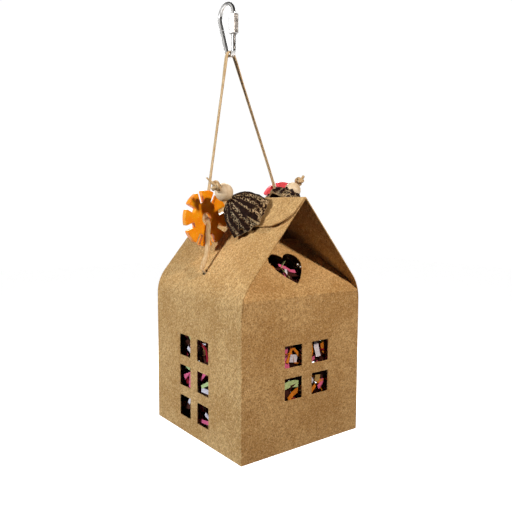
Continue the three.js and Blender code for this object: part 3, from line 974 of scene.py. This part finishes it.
class PodSurface:
    """How a seed case is ribbed, netted and torn at a turn and at a share of its length.

    corner is the turn at which one of its rim's corners points, where a splinter of pith stands.
    """

    def __init__(self, seed, corner):
        self.seed = seed
        self.corner = corner

    def noise(self, turn, near, up=0.0):
        """Noise round the case: near is the radius it is read at, up how far along."""
        return noise.noise(Vector((*polar(near, turn), up + self.seed)))

    def angular(self, turn):
        """How far a straight-sided rim stands out, as a share of its corners' radius."""
        off = ((turn - self.corner) * POD_CORNERS / (2 * math.pi) + 0.5) % 1 - 0.5
        return math.cos(math.pi / POD_CORNERS) / math.cos(2 * math.pi * (0.5 - abs(off)) / POD_CORNERS)

    def ribs(self, turn, share):
        """Height of the ribbed surface, 0 to 1, and how much of its netting shows pale, which also sets
        how far it is brightened as painted highlight.
        """
        drift = self.noise(turn, 2.1, share * 1.8)
        ridge = (0.5 + 0.5 * math.cos(POD_RIBS * turn + 3 * drift + 1.4 * share)) ** 1.4
        crumple = self.noise(turn, 5.04, share * 9)
        pale = smooth((0.62 - ridge + 0.5 * crumple) / 0.55)
        return 0.7 * ridge + 0.3 * (0.5 + crumple), pale

    def tears(self, turn, share):
        """How much of the pith shows, and how far the frayed patch beside the corner reaches."""
        off = (turn - self.corner + math.pi) % (2 * math.pi) - math.pi
        splinter = smooth((0.055 * (1.1 - share * 1.6) - abs(off + 0.22 * share)) / 0.02)
        splinter *= smooth((0.5 - share) / 0.1)
        beside = smooth((off - 0.02) / 0.2) * smooth((1.25 - off) / 0.3)
        ragged = smooth((self.noise(turn, 4.5, share * 8) - 0.08) / 0.08)
        patch = beside * smooth((0.5 - share) / 0.3) * ragged
        edge = smooth((0.022 - share) / 0.01)
        shreds = patch * smooth((0.15 - abs(self.noise(turn, 13, share * 17))) / 0.08)
        return max(splinter, 0.6 * edge, shreds), patch

    def outline(self, turn, share):
        """The case's radius and height before its ribs."""
        square = (1 - share) ** 1.4
        radius = CUP_RADIUS * cup_radius(share) * (1 + 0.02 * math.sin(3 * turn + self.seed))
        radius *= 1 + (self.angular(turn) * 1.13 - 1) * square
        chipped = max(0, 0.5 + 1.2 * self.noise(turn, 3)) * (1 - share) ** 6
        return radius, CUP_LENGTH * share + chipped


def make_pod(prefix, seed, corner, material):
    """A woody bell-shaped seed case: ribbed and netted outside, hollow, with an angular rim."""
    place = placing(*spinner(prefix + "_cup"))
    surface = PodSurface(seed, corner)
    rings, count = 72, 240
    points, pale_net_and_highlight_shares, torns = [], [], []
    for i in range(2 * (rings + 1)):
        inside = i > rings
        share = 1 - (i - rings - 1) / rings if inside else i / rings
        for k in range(count):
            turn = 2 * math.pi * k / count
            radius, height = surface.outline(turn, share)
            rib, pale = surface.ribs(turn, share)
            torn, patch = surface.tears(turn, share)
            if inside:
                radius = max(radius - CUP_WALL, LACE_RADIUS + 1.1)
                height = min(height, CUP_LENGTH - 2.2)
            else:
                radius += RIB_HEIGHT * rib * min(1, 3 * (1 - share) + 0.15) - 1.3 + 0.3 * torn
            points.append(place(*polar(radius, turn), height))
            # The share by which the net shows pale and is brightened as painted highlight; the frayed
            # patch adds to it.
            pale_net_and_highlight_shares.append(0 if inside else min(1, 0.85 * pale + patch))
            torns.append(0.8 * smooth((0.3 - share) / 0.3) if inside else torn)
    faces = ring_faces(2 * (rings + 1), count, around=True)
    piece = closed(prefix + "_pod", points, faces)
    for name, values in (("pale_net_and_highlight", pale_net_and_highlight_shares), ("torn", torns)):
        piece.data.attributes.new(name, "FLOAT", "POINT").data.foreach_set("value", values)
    return settle(piece, prefix + "_cup", material, [prefix + "_bell_cup"])


def rounded_corner(before, corner, after, radius):
    """Points that round a corner of an outline."""
    start = corner + (before - corner).normalized() * radius
    end = corner + (after - corner).normalized() * radius
    return quadratic(start, corner, end, 4)


def disc_outline():
    """The slotted disc's outline, counter-clockwise, with every corner eased."""
    half = math.asin(SLOT_WIDTH / 2 / DISC_RADIUS)
    pitch = 2 * math.pi / DISC_SLOTS
    floor = DISC_RADIUS - SLOT_DEPTH
    mouth = DISC_RADIUS * math.cos(half)
    past_slot = half + 0.09

    def corner(k, radius, side):
        """A corner of slot k, before its middle with side -1 and after it with side 1."""
        middle = DISC_TURN + k * pitch
        return polar(radius, middle) + polar(SLOT_WIDTH / 2, middle + math.pi / 2) * side

    outline = []
    for k in range(DISC_SLOTS):
        middle = DISC_TURN + k * pitch
        start, end = middle + past_slot, middle + pitch - past_slot
        rim = [polar(DISC_RADIUS, start + (end - start) * j / 10) for j in range(11)]
        first, last, mouth_out = corner(k, floor, -1), corner(k, floor, 1), corner(k, mouth, 1)
        outline += rounded_corner(corner(k, mouth, -1), first, last, 0.8)
        outline += rounded_corner(first, last, mouth_out, 0.8)
        outline += rounded_corner(last, mouth_out, rim[0], 1.3)
        outline += rim
        outline += rounded_corner(rim[-1], corner(k + 1, mouth, -1), corner(k + 1, floor, -1), 1.3)
    return thinned(outline, lambda a, b: (b - a).length)


def make_disc(name, body, material):
    """A flat slotted disc with a middle hole and soft edges."""
    centre, axis = spinner(body)
    across = axis.cross(Vector((0, 0, 1)))
    back = centre - axis * DISC_THICKNESS / 2
    work = bmesh.new()
    for loop in (disc_outline(), circle(DISC_HOLE, 40)):
        corners = [work.verts.new(back + across * p.x + Vector((0, 0, p.y))) for p in loop]
        for a, b in zip(corners, corners[1:] + corners[:1]):
            work.edges.new((a, b))
    filled = bmesh.ops.triangle_fill(work, edges=work.edges, use_beauty=True)
    made = [f for f in filled["geom"] if isinstance(f, bmesh.types.BMFace)]
    extruded = bmesh.ops.extrude_face_region(work, geom=made)
    moved = [v for v in extruded["geom"] if isinstance(v, bmesh.types.BMVert)]
    bmesh.ops.translate(work, verts=moved, vec=axis * DISC_THICKNESS)
    bmesh.ops.recalc_face_normals(work, faces=work.faces)
    mesh = bpy.data.meshes.new(name)
    work.to_mesh(mesh)
    work.free()
    piece = applied(bevel(loose_object(mesh), 0.75, 4, 45))
    return settle(piece, body, material, [body])


# ---- the quick link ----
def link_line():
    """The wire's centreline from the gate's upper end, round both bends, to its lower end."""
    dy = LINK_LARGE["y"] - LINK_SMALL["y"]
    dz = LINK_LARGE["z"] - LINK_SMALL["z"]
    slant = -2 * math.atan2(dy, dz)

    def arc(bend, start, end, steps):
        middle = Vector((LINK_X, bend["y"], bend["z"]))
        turns = [start + (end - start) * k / steps for k in range(steps + 1)]
        return [middle + Vector((0, *polar(bend["r"], t))) for t in turns]

    def straight(start, end):
        count = math.ceil(abs(end - start) / 0.12)
        heights = [start + (end - start) * k / count for k in range(count)]
        return [Vector((LINK_X, GATE_Y, z)) for z in heights]

    gate_low, gate_high = GATE_OPENING
    upper = straight(gate_high, LINK_LARGE["z"])
    large = arc(LINK_LARGE, math.pi, slant, 44)
    small = arc(LINK_SMALL, slant, -math.pi, 30)
    leg = straight(LINK_SMALL["z"], gate_low)
    slanted = between(large[-1], small[0], 6)
    return [*upper, *large, *slanted, *small, *leg[1:], Vector((LINK_X, GATE_Y, gate_low))]


def make_link(material):
    """The bent wire, threaded where the nut runs and eased at the gate's two ends."""
    count = 28
    threads = ((NUT_SPAN[0] + 0.6, GATE_OPENING[0]), (GATE_OPENING[1], NUT_SPAN[1] - 0.6))

    def section(share, point):
        on_gate = abs(point.y - GATE_Y) < 0.01
        threaded = on_gate and any(low <= point.z <= high for low, high in threads)
        to_end = min(abs(point.z - end) for end in GATE_OPENING) if on_gate else math.inf
        ring = []
        for k in range(count):
            turn = 2 * math.pi * k / count
            radius = WIRE - max(0, WIRE_END_EASE - to_end)
            if threaded:
                wave = math.sin(2 * math.pi * point.z / THREAD_PITCH + turn)
                radius -= THREAD_DEPTH * (0.5 - 0.5 * wave)
            ring.append(polar(radius, turn))
        return ring

    link = sweep("link_wire", link_line(), section, lambda point: Vector((1, 0, 0)))
    return settle(link, "link", material, ["quick_link"])


def make_nut(material):
    """A long hexagonal nut with chamfered ends, its flats knurled."""
    low, high = NUT_SPAN
    flat = NUT_CORNER * math.cos(math.pi / 6)
    rings, count = 60, 144
    heights = [low + (high - low) * k / rings for k in range(rings + 1)]
    profile = [(NUT_CORNER, z) for z in heights]
    profile += [(NUT_BORE + 0.5, high), (NUT_BORE, high - 0.5)]
    profile += [(NUT_BORE, low + 0.5), (NUT_BORE + 0.5, low)]

    def knurl(height, across):
        """Depth of the crossed grooves at a height and a distance across a flat."""
        waves = (math.sin(math.pi * (height + way * across) / KNURL_PITCH) for way in (1, -1))
        return KNURL_DEPTH * (1 - abs(math.prod(waves)))

    def shape(turn, index, radius, height):
        if index > rings:
            return radius, height
        off = (turn % (math.pi / 3)) - math.pi / 6
        edge = min(height - low, high - height)
        hexagon = min(flat / math.cos(off), NUT_CORNER - 0.12)
        cone = 2.95 + 0.95 * math.sqrt(max(0, 1 - (1 - min(1, edge / 1.2)) ** 2))
        inset = smooth((KNURL_REACH - abs(off)) / 0.06) * smooth((edge - 1) / 0.4)
        return min(hexagon, cone) - knurl(height, flat * math.tan(off)) * inset, height

    place = lambda x, y, z: Vector((LINK_X + x, GATE_Y + y, z))
    piece = turned("hex_nut", profile, count, place, shape)
    return settle(piece, "nut", material, ["gate_nut"])


# ---- the crinkle-cut paper ----
HEAP_TOP = 106
HEAP_STRIPS = 62
OUTER_SHARE = 0.7
WANDER = 0.14
WALL_STRIP_GAP = 2.2
WALL_STRIP_FOLD = 1.6
STRIP_THICKNESS = 0.16
# Each paper's colour, and its share of HEAP_STRIPS.
STRIP_COLOURS = {
    "pink": ((232, 108, 150), 0.5),
    "crimson": ((150, 24, 44), 1.0),
    "white": ((232, 228, 240), 0.35),
    "green": ((200, 224, 158), 0.3),
    "amber": ((226, 132, 34), 0.5),
    "brown": ((70, 34, 26), 4.5),
    "tan": ((200, 164, 100), 0.3),
}

# The strips that lie against the windows: the colour, the width, and the crinkled line in
# millimetres, across the wall from its middle and up it from the floor, over the fold if it is high.
GABLE_STRIPS = [
    ("pink", 3.8, [(-13.5, 74), (-12.5, 63), (-11.7, 52)]),
    ("amber", 2.6, [(-12.4, 58), (-6.5, 67.4), (0.1, 60)]),
    ("white", 5.2, [(-9.9, 60.8), (-2.3, 59.2)]),
    ("white", 4.2, [(14.3, 73), (14.8, 66), (15.4, 58.2)]),
    ("amber", 2.6, [(7.6, 72), (10.9, 62), (8.1, 58)]),
    ("amber", 2.8, [(18.7, 67), (21.1, 62), (25.1, 57)]),
    ("pink", 2.4, [(7.1, 56.4), (14.1, 57.6)]),
    ("green", 4.6, [(-15.9, 42.2), (-7.9, 43), (-2.5, 42.6)]),
    ("amber", 3.4, [(-10.9, 33), (-5.8, 35.9), (1.1, 40)]),
    ("white", 2, [(-15.9, 48), (-12.7, 40.6)]),
    ("tan", 4.6, [(12.7, 43.4), (18.7, 42.4)]),
    ("white", 3, [(7.1, 45.6), (12.5, 40.6)]),
    ("pink", 3, [(15.7, 36.4), (21.9, 40.6)]),
    ("amber", 2.6, [(7.1, 33), (14.7, 38)]),
    ("amber", 4, [(-10.9, 130), (-7.7, 121), (-3.9, 113)]),
    ("pink", 2.8, [(-3.9, 131), (2.6, 129.4), (3.1, 125.4), (9.1, 125.6)]),
    ("pink", 2.4, [(-2.9, 124), (-1.5, 115.5)]),
    ("white", 1.8, [(0.1, 127), (-2.9, 118)]),
    ("green", 2.4, [(-2.9, 116.6), (3.5, 112.6)]),
]
SIDE_STRIPS = [
    ("green", 2.4, [(13.2, 71), (10.8, 62.5)]),
    ("white", 3.2, [(15.2, 60.6), (8.8, 55.6)]),
    ("green", 2.8, [(20.2, 48.4), (15.2, 44.4)]),
    ("pink", 4, [(19.8, 38), (14.3, 41.5), (11.8, 32)]),
    ("white", 3, [(9.8, 26), (16.8, 19.2)]),
    ("white", 1.8, [(2.8, 63.6), (-6, 67)]),
    ("crimson", 2.4, [(-0.2, 67), (-6.7, 63), (-11.2, 56)]),
    ("pink", 2.6, [(-1.2, 41), (-6.2, 46.6)]),
    ("green", 2.4, [(-3.2, 36.4), (-11.2, 41)]),
    ("white", 3.2, [(-3.2, 34.6), (-13.2, 34.2)]),
    ("white", 3, [(-7.8, 19), (-13.2, 15)]),
    ("pink", 2.6, [(-0.2, 12), (-12.2, 12.7)]),
]


def clear_of_card(point, margin):
    """Moves a point of a strip into the space inside the house."""
    half_x = sheet_half(point.z, CARD + margin)
    half_y = DEPTH / 2 - CARD - margin
    over = point.z - WALL_HEIGHT
    if over > 0:
        half_y -= over / math.tan(GUSSET_PITCH)
    return Vector((
        max(-half_x, min(half_x, point.x)),
        max(-half_y, min(half_y, point.y)),
        max(FLOOR_THICKNESS + margin, point.z),
    ))


def add_strip(rings, points, faces):
    """Adds a closed strip of flats between rings of four points."""
    first = len(points)
    for ring in rings:
        points.extend(ring)
    faces.extend(tuple(first + k for k in face) for face in tube_faces(len(rings), 4))


def ring_at(at, broad, up, width):
    """Four points across a strip, kept off the card."""
    ring = []
    for across, above in ((-1, 0), (1, 0), (1, STRIP_THICKNESS), (-1, STRIP_THICKNESS)):
        corner = at + broad * across * width / 2 + up * above
        ring.append(clear_of_card(corner, 0.5 + STRIP_THICKNESS - above))
    return ring


def heap_strip(draw, points, faces):
    """One crinkled strip of the heap: flats folded to and fro along a wandering line."""
    at = Vector((draw.uniform(-46, 46), draw.uniform(-49, 49), draw.uniform(4, HEAP_TOP)))
    if draw.random() < OUTER_SHARE:
        face = draw.choice(("-x", "-y", "+x", "+y", "-x", "-y", "top"))
        depth = abs(draw.gauss(0, 5)) + 5
        side = 1 if face[0] == "+" else -1
        if face == "top":
            at.z = HEAP_TOP - depth
        elif face[1] == "x":
            at.x = (WIDTH / 2 - CARD - depth) * side
        else:
            at.y = (DEPTH / 2 - CARD - depth) * side
    way = Vector((draw.gauss(0, 1), draw.gauss(0, 1), draw.gauss(0, 0.7))).normalized()
    broad = way.orthogonal().normalized()
    broad.rotate(Matrix.Rotation(draw.uniform(0, 2 * math.pi), 3, way))
    width = draw.uniform(3.6, 5.4)
    pitch = draw.uniform(6, 9.5)
    fold = math.radians(draw.uniform(25, 48))
    rings = []
    for k in range(draw.randint(6, 10)):
        up = way.cross(broad).normalized()
        rings.append(ring_at(at, broad, up, width))
        slope = fold if k % 2 else -fold
        step = way * math.cos(slope) + up * math.sin(slope)
        at = clear_of_card(at + step * pitch * draw.uniform(0.8, 1.2), 4.5)
        bend = Vector((draw.gauss(0, 1), draw.gauss(0, 1), draw.gauss(0, 1))) * WANDER
        way = (way + bend).normalized()
        broad = (broad - way * broad.dot(way)).normalized()
    add_strip(rings, points, faces)


def wall_strip(sheet, place, width, line, points, faces):
    """One strip against a wall, its folds in turn nearer to and further from the sheet's card."""
    stops, normals = [], []
    for k, (u, v) in enumerate(line):
        at, out = sheet.at(v)
        depth = CARD + WALL_STRIP_GAP + WALL_STRIP_FOLD * (k % 2)
        stops.append(place(u, at - out * depth))
        normals.append((place(u, at - out) - place(u, at)).normalized())
    rings = []
    for k, (at, inwards) in enumerate(zip(stops, normals)):
        way = (stops[min(k + 1, len(stops) - 1)] - stops[max(k - 1, 0)]).normalized()
        broad = way.cross(inwards).normalized()
        rings.append(ring_at(at, broad, broad.cross(way), width))
    add_strip(rings, points, faces)


def make_strips():
    """One mesh for each paper: its strips of the heap, then those against the windows."""
    draw = random.Random(11)
    walls = (
        (GABLE_STRIPS, gable_line(), lambda u, at: Vector((u, -at.x, at.y))),
        (SIDE_STRIPS, sheet_line(False), near_place),
    )
    replaced = ["paper_shred"]
    for tone, (colour, share) in STRIP_COLOURS.items():
        points, faces = [], []
        for _ in range(round(HEAP_STRIPS * share)):
            heap_strip(draw, points, faces)
        for strips, sheet, place in walls:
            for own_tone, width, line in strips:
                if own_tone == tone:
                    wall_strip(sheet, place, width, line, points, faces)
        name = tone + "_strips"
        piece = closed(name, points, faces)
        settle(piece, "house", paper_material(name, colour), replaced, flat=True)
        replaced = []


# ---- the CAD nodes that show ----
def dress_bottom(material):
    """The floor, its flaps and the glued seam keep their CAD shape, with eased edges."""
    for name in ("bottom_panel", "tuck_tongue", "near_dust_flap", "far_dust_flap", "glue_tab"):
        node = frame["nodes"][name]
        node.data.materials.clear()
        node.data.materials.append(material)
        bevel(node, 0.15 * MM)


# ---- the studio ----
def area_light(name, aim, way, distance, size, power, tone):
    data = bpy.data.lights.new(name, "AREA")
    data.shape = "DISK"
    data.size = size
    data.energy = power
    data.color = tone
    lamp = loose_object(data)
    target = row(aim)
    lamp.location = target + Vector(way).normalized() * distance
    lamp.rotation_euler = (target - lamp.location).to_track_quat("-Z", "Y").to_euler()


def make_world():
    """White for the camera, dim for the card, and dark with two bright sides in the metal."""
    world = bpy.data.worlds.new("studio")
    bpy.context.scene.world = world
    world.use_nodes = True
    tree = world.node_tree
    base = tree.nodes["Background"]
    base.inputs["Color"].default_value = (1, 0.97, 0.94, 1)
    base.inputs["Strength"].default_value = AMBIENT
    place = add_node(tree, "TexCoord", "Generated", {})

    def bright_side(way, low, high, strength):
        facing = add_node(tree, "VectorMath", "Value", {0: place, 1: way}, operation="DOT_PRODUCT")
        spread = {"Value": facing, "From Min": low, "From Max": high, "To Min": 0.03, "To Max": strength}
        return add_node(tree, "MapRange", "Result", spread, interpolation_type="SMOOTHSTEP")

    sides = {
        0: bright_side((0.6, 0.8, 0), 0.3, 0.6, 0.75),
        1: bright_side((-0.95, 0.1, 0.25), 0.55, 0.8, 1.0),
    }
    brightest = add_node(tree, "Math", 0, sides, operation="MAXIMUM")
    seen = base.outputs[0]
    for ray, strength in (("Is Glossy Ray", brightest), ("Is Camera Ray", 1.02)):
        shade = add_node(tree, "Background", 0, {"Color": (1, 1, 1, 1), "Strength": strength})
        chosen = add_node(tree, "LightPath", ray, {})
        seen = add_node(tree, "MixShader", 0, {0: chosen, 1: seen, 2: shade})
    tree.links.new(seen, tree.nodes["World Output"].inputs["Surface"])


def make_studio():
    for light in LIGHTS:
        area_light(*light)
    make_world()
    low, high = cad_box
    middle = (low + high) / 2
    bpy.ops.mesh.primitive_plane_add(size=8, location=(middle.x, middle.y, low.z - FLOOR_DROP))
    floor = bpy.context.object
    floor.name = "floor"
    glow = {"Emission Color": (1, 1, 1, 1), "Emission Strength": 0.95}
    floor.data.materials.append(Material("pale_floor", (245, 245, 245), 0.9, glow).material)
    floor.visible_diffuse = False
    bpy.context.scene.view_settings.view_transform = "Standard"


make_camera()
leather = leather_material()
lace, lace_centres, lace_length = make_lace(leather)
near_knot = make_knot("near", (-6.6, 1.4, 5.6), 0.15, leather)
far_knot = make_knot("far", (3.2, -1.2, 4), 0.9, leather)

kraft = kraft_material()
near_sheet(kraft)
far_sheet(kraft)
for end in (-1, 1):
    gable_and_gusset(end, kraft)
dress_bottom(kraft)

wood = wood_material()
husk = pod_material()
make_pod("near", 3.1, math.radians(248), husk)
make_pod("far", 8.4, math.radians(196), husk)
for prefix in ("near", "far"):
    make_bead(prefix, wood)
orange = plastic_material("orange_plastic", (255, 166, 22), (250, 146, 14))
pink = plastic_material("pink_plastic", (240, 88, 100), (228, 72, 86))
make_disc("orange_slotted_disc", "orange_disc", orange)
make_disc("pink_slotted_disc", "pink_disc", pink)
make_link(nickel_material("nickel_wire", (205, 203, 200), 0.08, 0.2))
make_nut(nickel_material("nickel_nut", (186, 184, 182), 0.26, 0.44))
make_strips()
make_studio()
